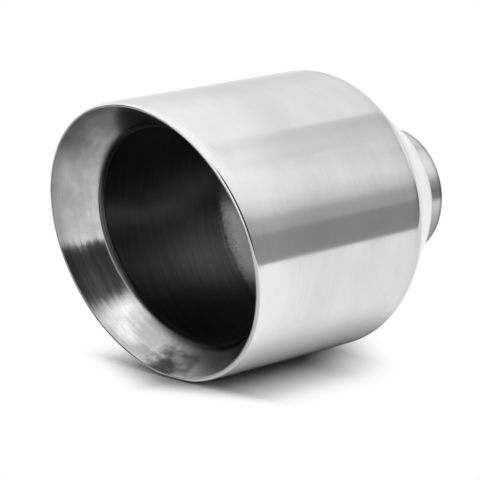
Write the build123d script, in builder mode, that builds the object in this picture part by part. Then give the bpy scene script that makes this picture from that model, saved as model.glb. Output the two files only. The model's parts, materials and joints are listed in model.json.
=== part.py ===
"""Slant-cut exhaust tip: a sheet shell with a rear cone, a ring with a rolled lip in its mouth, and an inlet neck.

Sizes are in millimetres and degrees. The axis lies along Y, with the mouth towards -Y and the inlet towards +Y.
The long side of the slant is up, +Z. The origin is the centre of the neck's square-cut end, where the pipe enters.
"""

import os
from math import cos, radians, tan

from build123d import *

# Shell
outlet_diameter = 101.6  # outside
body_length = 84.0  # along the axis, from the mouth's centre to the corner of the shoulder
slant_angle = 12.5  # of the mouth, off a square cut
cone_angle = 34.2  # of the rear cone's wall, off the axis
cone_end_diameter = 59.4  # outside, at the corner of the flat end
shoulder_radius = 3.0  # outside
end_bevel = 2.0  # along each side of the corner where the cone meets the flat end
shell_wall = 1.2

# Mouth ring, with its lip's radii at mid-sheet
flare_angle = 30.4  # of the flare, off the axis
flare_width = 16.8  # from the rim to the lip, along the sheet
lip_radius = 4.0  # where the lip leaves the flare
curl_radius = 2.8  # at the lip's edge
lip_turn = 80.0  # that the sheet turns through in the lip
lip_arcs = 6  # that the lip is drawn with, each tighter than the last
ring_wall = 1.0

# Inlet neck
neck_diameter = 48.3  # outside
neck_reach = 12.0  # standing out of the flat end
neck_insert = 6.0  # inside the cone
neck_wall = 1.5

# Fits and edges
ring_fit = 0.05  # between ring and shell
neck_fit = 0.05  # between neck and flat end
rim_land = 0.3  # of each sheet's edge, left flat on the rim

# Radii and places along the axis that follow from these
outlet_radius = outlet_diameter / 2
ring_radius = outlet_radius - shell_wall - ring_fit
neck_radius = neck_diameter / 2
neck_hole_radius = neck_radius + neck_fit
cone_end_radius = cone_end_diameter / 2
cone_end = -neck_reach
shoulder = cone_end - (outlet_radius - cone_end_radius) / tan(radians(cone_angle))
mouth = shoulder - body_length
slant_rise = tan(radians(slant_angle))
mouth_plane = Plane.XZ.offset(-mouth).rotated((slant_angle, 0, 0))

# The shell starts as a solid of revolution, is cut on the slant and then hollowed to the sheet.
with BuildPart() as outer_shell:
    with BuildSketch() as body_half:
        with BuildLine():
            longest_side = mouth - slant_rise * outlet_radius - shell_wall
            Polyline(
                (0, longest_side),
                (outlet_radius, longest_side),
                (outlet_radius, shoulder),
                (cone_end_radius, cone_end),
                (0, cone_end),
                close=True,
            )
        make_face()
        end_corner = body_half.vertices().sort_by_distance((cone_end_radius, cone_end))[0]
        chamfer(end_corner, end_bevel)
    revolve(axis=Axis.Y)
    split(bisect_by=mouth_plane, keep=Keep.BOTTOM)
    open_mouth = outer_shell.faces().sort_by(Axis.Y)[0]
    offset(amount=-shell_wall, openings=open_mouth)
    with BuildSketch(Plane.XZ.offset(-cone_end)):
        Circle(neck_hole_radius)
    extrude(amount=shell_wall, mode=Mode.SUBTRACT)
    rim_edge = outer_shell.edges().filter_by(GeomType.ELLIPSE).sort_by(SortBy.LENGTH)[-1]
    chamfer(rim_edge, shell_wall - rim_land)
    shoulder_edge = outer_shell.edges().filter_by(GeomType.CIRCLE).sort_by(SortBy.RADIUS)[-1]
    fillet(shoulder_edge, shoulder_radius)
outer_shell.part.label = "outer_shell"

# The ring's sheet follows one line: the flare from the rim, and the lip rolled out towards the shell. Its edge is
# trimmed to lie on the shell's inside and flush with the rim.
with BuildPart() as square_ring:
    with BuildSketch() as ring_section:
        with BuildLine():
            rim_radius = ring_radius - rim_land + ring_wall / 2 / cos(radians(flare_angle))
            flare = PolarLine((rim_radius, mouth), flare_width, angle=90 + flare_angle)
            lip = flare
            for arc in range(lip_arcs):
                arc_radius = lip_radius + (curl_radius - lip_radius) * arc / (lip_arcs - 1)
                lip = JernArc(lip @ 1, lip % 1, arc_radius, -lip_turn / lip_arcs)
        trace(line_width=ring_wall)
        with Locations((0, mouth)):
            Rectangle(ring_radius, body_length, align=(Align.MIN, Align.MIN), mode=Mode.INTERSECT)
    revolve(axis=Axis.Y)

# Sliding each point along the axis by its height keeps the ring round on the axis and lays its edges on the slant.
slant = Matrix([[1, 0, 0, 0], [0, 1, -slant_rise, 0], [0, 0, 1, 0]])
with BuildPart() as mouth_ring:
    add(square_ring.part.transform_geometry(slant))
mouth_ring.part.label = "mouth_ring"

with BuildPart() as inlet_neck:
    with BuildSketch(Plane.XZ):
        Circle(neck_radius)
        Circle(neck_radius - neck_wall, mode=Mode.SUBTRACT)
    extrude(amount=neck_reach + neck_insert)
inlet_neck.part.label = "inlet_neck"

os.makedirs("parts", exist_ok=True)
for piece in (outer_shell, mouth_ring, inlet_neck):
    export_step(piece.part, f"parts/{piece.part.label}.step")
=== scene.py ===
"""Looks of a slant-cut exhaust tip: smooth sheet pieces, their finishes and a white studio. In metres."""

import json
from math import atan2, cos, pi, radians, sin, tan

import bpy
from mathutils import Matrix, Vector


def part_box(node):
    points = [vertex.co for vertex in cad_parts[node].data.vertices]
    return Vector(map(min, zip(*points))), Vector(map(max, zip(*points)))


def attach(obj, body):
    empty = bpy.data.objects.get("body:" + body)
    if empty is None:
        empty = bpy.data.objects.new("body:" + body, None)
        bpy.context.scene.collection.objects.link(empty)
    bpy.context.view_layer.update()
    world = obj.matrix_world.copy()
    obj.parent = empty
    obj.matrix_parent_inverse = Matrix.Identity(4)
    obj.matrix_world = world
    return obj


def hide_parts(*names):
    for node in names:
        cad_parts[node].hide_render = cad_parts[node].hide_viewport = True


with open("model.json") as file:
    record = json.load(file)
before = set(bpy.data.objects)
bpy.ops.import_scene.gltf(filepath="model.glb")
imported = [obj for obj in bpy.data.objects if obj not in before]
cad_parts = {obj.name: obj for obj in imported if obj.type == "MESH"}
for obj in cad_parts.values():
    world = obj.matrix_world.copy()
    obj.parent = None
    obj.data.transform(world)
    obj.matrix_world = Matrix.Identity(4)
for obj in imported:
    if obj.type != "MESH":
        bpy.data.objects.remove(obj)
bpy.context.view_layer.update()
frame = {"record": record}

mm = 0.001

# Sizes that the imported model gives
outlet_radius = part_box("outer_shell")[1].x
cone_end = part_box("outer_shell")[1].y
neck_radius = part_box("inlet_neck")[1].x
neck_inner_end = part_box("inlet_neck")[0].y
neck_outer_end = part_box("inlet_neck")[1].y
neck_bore_radius = frame["record"]["mounts"][0]["dims"]["r_mm"] * mm

# Sizes of the sheet and its bends, as in the part's source
body_length = 84.0 * mm
slant_rise = tan(radians(12.5))
cone_angle = radians(34.2)
cone_end_radius = 29.7 * mm
shoulder_radius = 3.0 * mm
shell_wall = 1.2 * mm
ring_wall = 1.0 * mm
flare_angle = radians(30.4)
flare_width = 16.8 * mm
lip_radius = 4.0 * mm
curl_radius = 2.8 * mm
lip_turn = radians(80.0)
lip_arcs = 6
rim_land = 0.3 * mm
fit = 0.05 * mm

# Finer bends that only the finished surfaces have
soft_shoulder = 6.0 * mm  # rounding of the shoulder, outside
rim_radius = 0.96 * mm  # rounding of the rim's outer edge
roll_angle = radians(6.0)  # by which the shell rolls inwards before the rim
roll_run = 3.0 * mm  # length of that roll
roll_radius = 38.0 * mm  # rounding where the roll starts
edge_radius = 0.4 * mm  # rounding of cut edges
seam_radius = 0.03 * mm  # rounding of the two edges that meet in the rim
hole_inset = 0.3 * mm  # by which the whole lip lies further in along the flare
hole_oval = 0.9 * mm  # by which it lies further in above and below, and less far at the sides

# Places that follow from these
neck_hole_radius = neck_radius + fit
shoulder = cone_end - (outlet_radius - cone_end_radius) / tan(cone_angle)
mouth = shoulder - body_length
flare_depth = flare_width * cos(flare_angle)
lip_place = mouth + flare_depth
inside_radius = outlet_radius - shell_wall
ring_radius = inside_radius - fit
floor_height = -outlet_radius

# Fineness of the meshes
SEGMENTS = 360  # round the axis
ARC_STEP = radians(5)  # between the points of a rounding


def arc_points(centre, radius, start, turn):
    """Points on an arc, both ends included."""
    count = max(2, round(abs(turn) / ARC_STEP))
    angles = [start + turn * i / count for i in range(count + 1)]
    return [Vector((centre.x + radius * cos(a), centre.y + radius * sin(a))) for a in angles]


def corner_points(before, corner, after, radius):
    """The arc that rounds a corner between two straight runs."""
    to_before = (before - corner).normalized()
    to_after = (after - corner).normalized()
    half = to_before.angle(to_after) / 2
    centre = corner + (to_before + to_after).normalized() * radius / sin(half)
    first = corner + to_before * radius / tan(half) - centre
    last = corner + to_after * radius / tan(half) - centre
    start = atan2(first.y, first.x)
    turn = (atan2(last.y, last.x) - start + pi) % (2 * pi) - pi
    return arc_points(centre, radius, start, turn)


def with_supports(points, gap=0.2 * mm):
    """A closed outline with a point near each end of its long stretches, so that flats are shaded flat."""
    result = []
    for here, after in zip(points, points[1:] + points[:1]):
        result.append(here)
        run = after - here
        if run.length > 4 * gap:
            result.append(here + run.normalized() * gap)
            result.append(after - run.normalized() * gap)
    return result


def rounded(corners):
    """A closed outline from corners given as (radius, place along the axis, rounding)."""
    places = [Vector(corner[:2]) for corner in corners]
    points = []
    for i, (_, _, rounding) in enumerate(corners):
        points += corner_points(places[i - 1], places[i], places[(i + 1) % len(places)], rounding)
    return with_supports(points)


def slanted(radius, place, angle, lean):
    """A point round the Y axis. lean is its share of the mouth's slant."""
    x, z = radius * cos(angle), radius * sin(angle)
    return x, place - lean * slant_rise * z, z


def lathe(name, outline, put, materials, inside_material=0):
    """A closed outline turned round the Y axis. put gives the point for a radius, place along Y and angle."""
    vertices = []
    for step in range(SEGMENTS):
        angle = 2 * pi * step / SEGMENTS
        vertices += [put(radius, place, angle) for radius, place in outline]
    rows = len(outline)
    faces = []
    for step in range(SEGMENTS):
        this, after = step * rows, (step + 1) % SEGMENTS * rows
        for row in range(rows):
            next_row = (row + 1) % rows
            faces.append((this + row, this + next_row, after + next_row, after + row))
    mesh = bpy.data.meshes.new(name)
    mesh.from_pydata(vertices, [], faces)
    mesh.validate()
    for material in materials:
        mesh.materials.append(material)
    mesh.update()
    area = sum(a.x * b.y - b.x * a.y for a, b in zip(outline, outline[1:] + outline[:1]))
    if area < 0:
        mesh.flip_normals()
    for face in mesh.polygons:
        face.use_smooth = True
        outward = Vector((face.center.x, 0, face.center.z))
        if face.normal.dot(outward) < 0:
            face.material_index = inside_material
    piece = bpy.data.objects.new(name, mesh)
    bpy.context.scene.collection.objects.link(piece)
    return piece


def on_shell(radius, place, angle):
    """All of the slant at the rim, and none from the shoulder on."""
    bend_start = shoulder - shoulder_radius
    rim_end = mouth + 2 * shell_wall
    lean = min(1.0, max(0.0, (bend_start - place) / (bend_start - rim_end)))
    return slanted(radius, place, angle, lean)


def on_ring(radius, place, angle):
    """All of the slant, with the flare a little wider above and below than at the sides."""
    share = min(1.0, (place - mouth) / flare_depth)
    slide = share * (hole_inset - hole_oval * cos(2 * angle))
    return slanted(radius - slide * sin(flare_angle), place + slide * cos(flare_angle), angle, 1.0)


def on_neck(radius, place, angle):
    """None of the slant."""
    return slanted(radius, place, angle, 0.0)


def make_shell(materials):
    """Sheet tube with the rear cone and its flat end, open at the neck's hole."""
    inner_end = cone_end - shell_wall
    inner_end_radius = cone_end_radius + shell_wall * tan(cone_angle) - shell_wall / cos(cone_angle)
    inner_shoulder = shoulder - shell_wall * tan(cone_angle / 2)
    outline = rounded([
        (outlet_radius - roll_run * tan(roll_angle), mouth, rim_radius),
        (outlet_radius, mouth + roll_run, roll_radius),
        (outlet_radius, shoulder, soft_shoulder),
        (cone_end_radius, cone_end, shoulder_radius),
        (neck_hole_radius, cone_end, edge_radius),
        (neck_hole_radius, inner_end, edge_radius),
        (inner_end_radius, inner_end, shoulder_radius - shell_wall),
        (inside_radius, inner_shoulder, shoulder_radius - shell_wall),
        (inside_radius, mouth, seam_radius),
    ])
    return lathe("outer_shell_skin", outline, on_shell, materials, inside_material=1)


def make_ring(materials):
    """The flare from the rim, and the lip that rolls out towards the shell in ever tighter arcs."""
    half = ring_wall / 2
    heading = pi / 2 + flare_angle
    way = Vector((cos(heading), sin(heading)))
    back_side = Vector((way.y, -way.x))
    rim_face = Vector((ring_radius - rim_land, mouth))
    lip_start = rim_face + way * (flare_width - half * tan(flare_angle)) + back_side * half
    turn = -lip_turn / lip_arcs
    front, back = [], []
    for arc in range(lip_arcs):
        radius = lip_radius + (curl_radius - lip_radius) * arc / (lip_arcs - 1)
        centre = lip_start + back_side * radius
        start = atan2(-back_side.y, -back_side.x)
        front += arc_points(centre, radius + half, start, turn)
        back += arc_points(centre, radius - half, start, turn)
        lip_start = centre + Vector((cos(start + turn), sin(start + turn))) * radius
        back_side = (centre - lip_start).normalized()
    tip = arc_points(lip_start, half, atan2(-back_side.y, -back_side.x), -pi)
    back.reverse()
    seat = Vector((ring_radius, back[-1].y - (ring_radius - back[-1].x) / tan(flare_angle)))
    rim_back = Vector((ring_radius, mouth))
    outline = corner_points(rim_back, rim_face, front[0], edge_radius) + front + tip + back
    outline += [seat] + corner_points(seat, rim_back, rim_face, seam_radius)
    return lathe("mouth_ring_skin", with_supports(outline), on_ring, materials)


def make_neck(materials):
    """Short tube, cut square at both ends."""
    outline = rounded([
        (neck_radius, neck_inner_end, edge_radius),
        (neck_radius, neck_outer_end, edge_radius),
        (neck_bore_radius, neck_outer_end, edge_radius),
        (neck_bore_radius, neck_inner_end, edge_radius),
    ])
    return lathe("inlet_neck_skin", outline, on_neck, materials, inside_material=1)


class Nodes:
    """The nodes of a material or world, with helpers that add and join them."""

    def __init__(self, owner):
        owner.use_nodes = True
        self.nodes = owner.node_tree.nodes
        self.links = owner.node_tree.links

    def add(self, kind, **settings):
        node = self.nodes.new("ShaderNode" + kind)
        for name, value in settings.items():
            setattr(node, name, value)
        return node

    def feed(self, socket, value):
        """Joins another node's output to a socket, or sets the socket's own value."""
        if isinstance(value, bpy.types.NodeSocket):
            self.links.new(value, socket)
        else:
            socket.default_value = value

    def math(self, operation, *values):
        """A number from one or two others."""
        node = self.add("Math", operation=operation)
        for socket, value in zip(node.inputs, values):
            self.feed(socket, value)
        return node.outputs["Value"]

    def chain(self, operation, first, *others):
        """A number from any count of others, joined in turn."""
        for other in others:
            first = self.math(operation, first, other)
        return first

    def remap(self, value, low, high, to_low, to_high, shape="SMOOTHSTEP"):
        """A ramp that keeps its end levels past its ends."""
        node = self.add("MapRange", interpolation_type=shape)
        names = ("Value", "From Min", "From Max", "To Min", "To Max")
        for name, setting in zip(names, (value, low, high, to_low, to_high)):
            self.feed(node.inputs[name], setting)
        return node.outputs["Result"]

    def blend(self, share, first, second):
        node = self.add("Mix")
        for name, value in (("Factor", share), ("A", first), ("B", second)):
            self.feed(node.inputs[name], value)
        return node.outputs["Result"]

    def follow(self, value, levels):
        """A level that runs straight between the levels given as (value, level), in order of value."""
        top = max(level for _, level in levels)
        start, end = levels[0][0], levels[-1][0]
        curve = self.add("FloatCurve")
        line = curve.mapping.curves[0]
        while len(line.points) < len(levels):
            line.points.new(0.5, 0.5)
        for point, (spot, level) in zip(line.points, levels):
            point.location = ((spot - start) / (end - start), level / top)
            point.handle_type = "VECTOR"
        curve.mapping.update()
        self.feed(curve.inputs["Value"], self.remap(value, start, end, 0, 1, shape="LINEAR"))
        return self.math("MULTIPLY", curve.outputs["Value"], top)

    def seen_rays(self):
        """One for what the camera sees, in the metal too, and nought for light falling on matt surfaces."""
        ray = self.add("LightPath").outputs
        seen = self.chain("MAXIMUM", ray["Is Glossy Ray"], ray["Is Transmission Ray"], ray["Is Camera Ray"])
        return self.math("MULTIPLY", seen, self.math("LESS_THAN", ray["Diffuse Depth"], 0.5))


class Surface(Nodes):
    """A node material that knows the place on its object."""

    def __init__(self, name):
        self.material = bpy.data.materials.new(name)
        super().__init__(self.material)
        self.shader = self.nodes["Principled BSDF"]
        self.surface = self.nodes["Material Output"].inputs["Surface"]
        self.place = self.add("TexCoord").outputs["Object"]

    def along(self, axis):
        split = self.add("SeparateXYZ")
        self.feed(split.inputs[0], self.place)
        return split.outputs[axis]

    def measure(self, operation, vector):
        """One number for each place: its distance from a spot, or how far it lies along a way."""
        node = self.add("VectorMath", operation=operation)
        self.feed(node.inputs[0], self.place)
        self.feed(node.inputs[1], vector)
        return node.outputs["Value"]


class Finish(Surface):
    """Steel, with helpers for the textures that vary over it."""

    COMMON_NOISE = 0.3, 0.7  # between which most of a noise lies

    def lean(self):
        """Slides the textures along the axis with the slant, so that Y stays the same round the rim."""
        leant = self.add("CombineXYZ")
        self.feed(leant.inputs["X"], self.along("X"))
        self.feed(leant.inputs["Y"], self.measure("DOT_PRODUCT", (0, 1, slant_rise)))
        self.feed(leant.inputs["Z"], self.along("Z"))
        self.place = leant.outputs["Vector"]

    def noise(self, scale, detail=3.0, roughness=0.55):
        """Noise with a scale for each axis, in features per metre."""
        mapping = self.add("Mapping")
        self.feed(mapping.inputs["Vector"], self.place)
        self.feed(mapping.inputs["Scale"], scale)
        texture = self.add("TexNoise")
        self.feed(texture.inputs["Vector"], mapping.outputs["Vector"])
        self.feed(texture.inputs["Scale"], 1)
        self.feed(texture.inputs["Detail"], detail)
        self.feed(texture.inputs["Roughness"], roughness)
        return texture.outputs["Fac"]

    def vary(self, noise, to_low, to_high):
        """Spreads a noise over a range."""
        return self.remap(noise, *self.COMMON_NOISE, to_low, to_high)

    def bump(self, height, depth, normal=None):
        """Surface relief, with the depth in metres from the lowest to the highest value."""
        node = self.add("Bump")
        self.feed(node.inputs["Distance"], depth)
        self.feed(node.inputs["Height"], height)
        if normal:
            self.feed(node.inputs["Normal"], normal)
        return node.outputs["Normal"]

    def grain_way(self):
        """The way that the grain runs: round the axis."""
        return self.add("Tangent", direction_type="RADIAL", axis="Y").outputs["Tangent"]

    def wander(self, normal, lines, tilt):
        """Tilts the surface along its grain, each line by its own angle, which frays what it mirrors."""
        way = self.add("VectorMath", operation="SCALE")
        self.feed(way.inputs[0], self.grain_way())
        self.feed(way.inputs["Scale"], self.remap(lines, 0.25, 0.75, -tilt, tilt))
        tilted = self.add("VectorMath", operation="ADD")
        self.feed(tilted.inputs[0], normal)
        self.feed(tilted.inputs[1], way.outputs["Vector"])
        unit = self.add("VectorMath", operation="NORMALIZE")
        self.feed(unit.inputs[0], tilted.outputs["Vector"])
        return unit.outputs["Vector"]

    def metal(self, grey, roughness, normal, grain=0.5):
        """Steel with its grain round the axis. grain is how much more it blurs across it than along it."""
        for name, value in (
            ("Metallic", 1),
            ("Anisotropic", grain),
            ("Anisotropic Rotation", 0.25),
            ("Tangent", self.grain_way()),
            ("Base Color", grey),
            ("Roughness", roughness),
            ("Normal", normal),
        ):
            self.feed(self.shader.inputs[name], value)
        return self.material


class Buffed(Finish):
    """Buffed sheet: fine lines round the axis, soft waves and smudges."""

    def __init__(self, name, grey, roughness, spread, line_depth, wave_depth, leans=False):
        super().__init__(name)
        if leans:
            self.lean()
        lines = self.noise((25, 2200, 25), detail=4, roughness=0.7)
        smudges = self.noise((45, 70, 45))
        waves = self.noise((50, 30, 50), detail=1)
        self.shade = self.math(
            "MULTIPLY",
            self.vary(lines, grey * (1 - spread), grey),
            self.vary(smudges, 1 - spread, 1 + spread),
        )
        self.dull = self.math(
            "MULTIPLY",
            self.vary(lines, roughness * 1.15, roughness * 0.9),
            self.vary(smudges, 1.15, 0.9),
        )
        self.normal = self.bump(lines, line_depth, self.bump(waves, wave_depth))


def shell_steel():
    """Painted highlight in a broad band beside the mouth, painted shade in the shoulder's crease, painted
    light on the cone.
    """
    finish = Buffed(
        "shell_steel", grey=0.71, roughness=0.125, spread=0.03, line_depth=0.002 * mm, wave_depth=0.05 * mm
    )
    place = finish.along("Y")
    # Painted highlight beside the mouth, painted shade in the crease of the shoulder, painted light on the
    # cone
    beside_mouth = finish.remap(place, mouth + 4 * mm, mouth + 36 * mm, 1.15, 1)
    crease = finish.remap(place, shoulder - 6 * mm, shoulder + 1 * mm, 1, 0.86)
    cone = finish.remap(place, shoulder + 1 * mm, shoulder + 12 * mm, 1, 1.25)
    shade = finish.chain("MULTIPLY", finish.shade, beside_mouth, crease, cone)
    return finish.metal(shade, finish.dull, finish.normal)


def ring_steel():
    """Buffed and streaked on the flare, hazy at the bottom, dull on the lip, with painted shade on its
    turned-in side, least at the left.
    """
    finish = Buffed(
        "ring_steel",
        grey=0.76,
        roughness=0.165,
        spread=0.07,
        line_depth=0.005 * mm,
        wave_depth=0.10 * mm,
        leans=True,
    )
    across, depth, height = finish.along("X"), finish.along("Y"), finish.along("Z")
    streaks = finish.noise((30, 550, 30), detail=6, roughness=0.65)
    blotches = finish.noise((110, 160, 110), detail=4)

    # Painted shade on the lip's turned-in side starts sooner above, below and at the right
    painted_lip_shade_above = finish.remap(height, 0, 36 * mm, 0, 2.2 * mm)
    painted_lip_shade_below = finish.remap(height, -42 * mm, -22 * mm, 2.2 * mm, 0)
    painted_lip_shade_right = finish.remap(across, 0, 25 * mm, 0, 2.5 * mm)
    into_painted_lip_shade = finish.chain("ADD", depth, painted_lip_shade_above, painted_lip_shade_below, painted_lip_shade_right)

    # Places of a painted dark reflection near the bottom rim, and of painted shade low and high on the flare
    painted_dark_reflection_spot = (-5 * mm, mouth + 3 * mm, -46.5 * mm)
    painted_shade_spot_below = (8 * mm, mouth + 7 * mm, -45 * mm)
    painted_shade_spot_above = (-17 * mm, mouth + 9 * mm, 40 * mm)
    ragged = finish.vary(blotches, -3 * mm, 3 * mm)
    from_painted_dark_reflection = finish.math("ADD", finish.measure("DISTANCE", painted_dark_reflection_spot), ragged)
    from_painted_shade_below = finish.measure("DISTANCE", painted_shade_spot_below)
    from_painted_shade_above = finish.measure("DISTANCE", painted_shade_spot_above)

    shade = finish.chain(
        "MULTIPLY",
        finish.shade,
        # Painted shade just inside the rim, and painted sheen brightening towards the lip
        finish.remap(depth, mouth + 0.5 * mm, mouth + 4 * mm, 0.82, 1),
        finish.remap(depth, mouth, lip_place - 2 * mm, 0.95, 1.2),
        finish.vary(streaks, 0.9, 1.06),
        finish.vary(blotches, 0.84, 1.1),
        # Painted shade on the lip's turned-in side
        finish.remap(into_painted_lip_shade, lip_place, lip_place + 3 * mm, 1, 0.08),
        # Painted dark reflection near the bottom rim
        finish.remap(from_painted_dark_reflection, 2 * mm, 12 * mm, 0.15, 1),
        # Painted shade low and high on the flare
        finish.remap(from_painted_shade_below, 8 * mm, 22 * mm, 0.85, 1),
        finish.remap(from_painted_shade_above, 3 * mm, 22 * mm, 0.6, 1),
    )
    haze = finish.math(
        "MINIMUM",
        finish.remap(height, -40 * mm, -28 * mm, 0.25, 0),
        finish.remap(across, -26 * mm, -8 * mm, 0, 0.25),
    )
    dull_lip = finish.remap(depth, lip_place - 1.5 * mm, lip_place + 1 * mm, 0, 0.42)
    dull = finish.chain("MAXIMUM", finish.dull, haze, dull_lip)
    return finish.metal(shade, dull, finish.wander(finish.normal, streaks, tilt=0.022))


def neck_steel():
    """Painted shade underneath, and darker along its cut end."""
    finish = Buffed(
        "neck_steel", grey=0.6, roughness=0.2, spread=0.06, line_depth=0.004 * mm, wave_depth=0.06 * mm
    )
    # Painted shade underneath
    underneath = finish.remap(finish.along("Z"), -12 * mm, 2 * mm, 0.5, 1)
    cut_end = finish.remap(finish.along("Y"), neck_outer_end - 2.5 * mm, neck_outer_end - 0.3 * mm, 1, 0.5)
    shade = finish.chain("MULTIPLY", finish.shade, underneath, cut_end)
    return finish.metal(shade, finish.dull, finish.normal)


def inside_steel():
    """Unpolished inside, speckled on the cone, with painted shade above and at the left, and painted light at
    the right and on the cone.
    """
    finish = Finish("inside_steel")
    lines = finish.noise((60, 900, 60), detail=4)
    stains = finish.noise((35, 35, 35))
    specks = finish.noise((900, 900, 900), detail=4, roughness=0.7)

    # A slightly tilted height, along which lie the painted shade above and the painted band of light on the
    # cone
    height = finish.measure("DOT_PRODUCT", (0, 0.18, 1))
    height = finish.math("ADD", height, finish.vary(stains, -3 * mm, 3 * mm))
    # Painted shade above
    painted_shade_inside_above = finish.remap(height, -21 * mm, -12 * mm, 1, 0.4)
    painted_light_patch_top = finish.remap(height, -18 * mm, -6 * mm, 1, 0.25)
    painted_light_patch_bottom = finish.remap(height, -46 * mm, -37 * mm, 0.2, 1)

    # Painted shade on the left wall and painted light on the right wall
    left = finish.vary(lines, 0.125, 0.15)
    right = finish.vary(stains, 0.6, 0.8)
    # Painted band of light on the cone, where light from the mouth falls
    cone = finish.chain("MULTIPLY", painted_light_patch_top, painted_light_patch_bottom, finish.vary(specks, 0.92, 1))
    on_right = finish.remap(finish.along("X"), 0, 30 * mm, 0, 1)
    ragged = finish.math("ADD", finish.along("Y"), finish.vary(specks, -0.8 * mm, 0.8 * mm))
    on_cone = finish.remap(ragged, shoulder - 2.5 * mm, shoulder + 3.5 * mm, 0, 1)

    shade = finish.blend(on_cone, finish.blend(on_right, left, right), cone)
    dull = finish.remap(finish.math("MAXIMUM", on_right, on_cone), 0, 1, 0.32, 0.55)
    normal = finish.bump(specks, 0.01 * mm)
    return finish.metal(finish.math("MULTIPLY", shade, painted_shade_inside_above), dull, normal, grain=0.7)


floor_size = 8.0

# The floor's shadow: how wide it is kept beside the axis, and where it has faded to plain white
shadow_core = 0.013
shadow_end = 0.06

# How much narrower the shadow is at places along the axis, to the eye and as the metal mirrors it
seen_narrowing = [
    (mouth - 0.012, 0.06),
    (mouth + 0.016, 0.0),
    (mouth + 0.06, 0.0),
    (mouth + 0.08, 0.013),
    (mouth + 0.12, 0.065),
]
mirrored_narrowing = [
    (mouth - 0.012, 0.055),
    (mouth + 0.018, 0.005),
    (mouth + 0.10, 0.005),
    (mouth + 0.13, 0.04),
]


def make_floor():
    """A white floor that keeps the shadow near the tip and is plain white away from it."""
    paint = Surface("floor_white")
    paint.feed(paint.shader.inputs["Base Color"], (0.95, 0.95, 0.95, 1))
    paint.feed(paint.shader.inputs["Roughness"], 1)
    paint.feed(paint.shader.inputs["Specular IOR Level"], 0)
    place = paint.along("Y")
    narrowing = paint.blend(
        paint.add("LightPath").outputs["Is Glossy Ray"],
        paint.follow(place, seen_narrowing),
        paint.follow(place, mirrored_narrowing),
    )
    beside = paint.math("ADD", paint.math("ABSOLUTE", paint.along("X")), narrowing)
    fade = paint.remap(beside, shadow_core, shadow_end, 0, 1)
    mix = paint.add("MixShader")
    paint.feed(mix.inputs["Fac"], paint.math("MULTIPLY", fade, paint.seen_rays()))
    paint.feed(mix.inputs[1], paint.shader.outputs["BSDF"])
    paint.feed(mix.inputs[2], paint.add("Emission").outputs["Emission"])
    paint.feed(paint.surface, mix.outputs["Shader"])
    bpy.ops.mesh.primitive_plane_add(size=floor_size, location=(0, 0, floor_height))
    floor = bpy.context.object
    floor.name = "floor"
    floor.data.materials.append(paint.material)


def make_world(ambient):
    """A world that is white to the eye and in the metal, and gives less soft light than the lamp overhead."""
    world = bpy.data.worlds.new("studio")
    bpy.context.scene.world = world
    sky = Nodes(world)
    background = sky.nodes["Background"]
    sky.feed(background.inputs["Color"], (1, 1, 1, 1))
    sky.feed(background.inputs["Strength"], sky.remap(sky.seen_rays(), 0, 1, ambient, 1, shape="LINEAR"))


def make_lamp(strength, softness):
    """A broad lamp straight above, which the metal does not mirror."""
    data = bpy.data.lights.new("overhead_lamp", "SUN")
    data.energy = strength * pi
    data.angle = softness
    lamp = bpy.data.objects.new("overhead_lamp", data)
    lamp.visible_glossy = False
    bpy.context.scene.collection.objects.link(lamp)


def make_card(name, facing, place, join="MULTIPLY", **levels):
    """A studio card that only the metal mirrors, square to one axis at a place along it.

    Along the other two axes it has levels from edge to edge, given as (place, level), where 1 is white.
    """
    glow = Surface(name)
    glow.nodes.remove(glow.shader)
    emission = glow.add("Emission")
    strengths = [glow.follow(glow.along(axis), steps) for axis, steps in levels.items()]
    glow.feed(emission.inputs["Strength"], glow.chain(join, *strengths))
    glow.feed(glow.surface, emission.outputs["Emission"])
    first, second = levels
    corners = []
    for first_end, second_end in ((0, 0), (-1, 0), (-1, -1), (0, -1)):
        spot = {facing: place, first: levels[first][first_end][0], second: levels[second][second_end][0]}
        corners.append((spot["X"], spot["Y"], spot["Z"]))
    mesh = bpy.data.meshes.new(name)
    mesh.from_pydata(corners, [], [(0, 1, 2, 3)])
    mesh.materials.append(glow.material)
    card = bpy.data.objects.new(name, mesh)
    bpy.context.scene.collection.objects.link(card)
    card.visible_camera = False
    card.visible_diffuse = False
    card.visible_shadow = False


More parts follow.
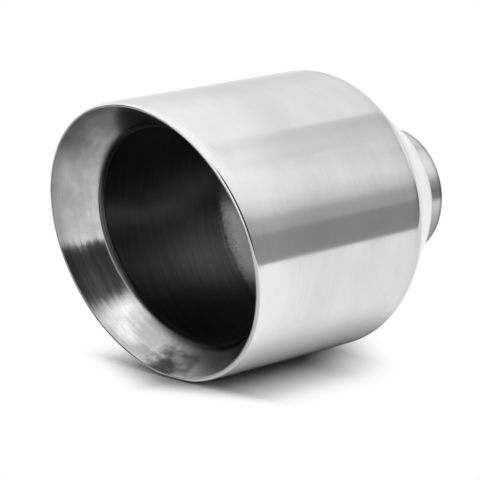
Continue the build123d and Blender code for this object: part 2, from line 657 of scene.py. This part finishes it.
def make_cards():
    """Seven cards. The comments say where the metal mirrors each, seen from the camera."""
    # The shell's side, with its dark stripe
    make_card(
        "side_card", "X", 0.2085,
        Y=[(-0.03, 1.0), (0.16, 1.02), (0.22, 0.84), (0.32, 0.8), (0.4, 0.45), (1.2, 0.45)],
        Z=[
            (floor_height, 0.3), (0.024, 0.3), (0.032, 0.42), (0.06, 0.45),
            (0.085, 0.72), (0.13, 0.92), (0.34, 1.1),
        ],
    )
    # The lower left of the flare
    make_card(
        "dark_card", "X", 0.232,
        Y=[(-0.38, 1.0), (-0.29, 0.02), (-0.12, 0.02), (-0.005, 0.4)],
        Z=[(floor_height, 0.02), (0.20, 0.02), (0.24, 0.4), (0.30, 1.0)],
        join="MAXIMUM",
    )
    # The neck, and the edge of the shoulder
    make_card(
        "neck_card", "Y", 0.06,
        X=[(0.015, 0.5), (0.03, 1.0), (0.075, 1.0), (0.10, 0.5)],
        Z=[(0.03, 0.7), (0.045, 1.2), (0.075, 1.2), (0.10, 0.7)],
    )
    # The upper part of the shell's side
    make_card(
        "ceiling_card", "Z", 0.4,
        X=[(0.044, 0.75), (0.1, 0.75), (0.16, 0.85), (0.46, 1.0)],
        Y=[(0.2, 1.2), (0.24, 1.2), (0.34, 0.9), (0.6, 0.85)],
    )
    # The shell above that, and the bottom of the flare
    make_card(
        "overhead_card", "Z", 0.7,
        X=[(-0.7, 1.0), (0.5, 1.0)],
        Y=[(-0.8, 1.18), (0.3, 1.18), (0.5, 1.0), (0.6, 1.0)],
    )
    # The top of the shell
    make_card(
        "left_card", "X", -0.5,
        Y=[(0.1, 1.0), (1.0, 1.0)],
        Z=[(floor_height, 0.94), (0.12, 0.83), (0.2, 0.83), (0.6, 1.0)],
    )
    # The upper left of the flare, which mirrors the floor in front of the mouth
    make_card(
        "front_card", "Z", floor_height + 1 * mm,
        X=[(-0.13, 1.0), (-0.06, 0.16), (-0.035, 0.16), (0.0, 0.56), (0.25, 0.78)],
        Y=[(-0.30, 1.2), (-0.18, 1.0), (mouth + 0.012, 1.0)],
    )


# Camera, from the photograph's 480 by 480 pixels
view_azimuth, view_elevation = radians(44.206), radians(12.657)
image_centre = Vector((240.0, 240.0))
mouth_pixel = Vector((150.70, 244.13))
focal_pixels = 2833.3
camera_distance = 978.1 * mm
sensor_width_mm = 36


def make_camera():
    """A camera that shows the mouth's centre at its pixel in the photograph."""
    back = Vector((
        sin(view_azimuth) * cos(view_elevation),
        -cos(view_azimuth) * cos(view_elevation),
        sin(view_elevation),
    ))
    right = Vector((cos(view_azimuth), sin(view_azimuth), 0))
    up = back.cross(right)
    offset = (mouth_pixel - image_centre) * camera_distance / focal_pixels
    aim = Vector((0, mouth, 0)) - right * offset.x + up * offset.y
    data = bpy.data.cameras.new("camera")
    data.sensor_width = sensor_width_mm
    data.lens = sensor_width_mm * focal_pixels / (2 * image_centre.x)
    camera = bpy.data.objects.new("camera", data)
    turned = Matrix((right, up, back)).transposed().to_4x4()
    camera.matrix_world = Matrix.Translation(aim + back * camera_distance) @ turned
    bpy.context.scene.collection.objects.link(camera)
    bpy.context.scene.camera = camera


inside_finish = inside_steel()
for piece, node, slot in (
    (make_shell([shell_steel(), inside_finish]), "outer_shell", "shell"),
    (make_ring([ring_steel()]), "mouth_ring", "ring"),
    (make_neck([neck_steel(), inside_finish]), "inlet_neck", "neck"),
):
    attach(piece, "root")
    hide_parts(node)

make_floor()
make_world(ambient=0.04)
make_lamp(strength=0.98, softness=radians(40))
make_cards()
make_camera()
bpy.context.scene.view_settings.view_transform = "Standard"
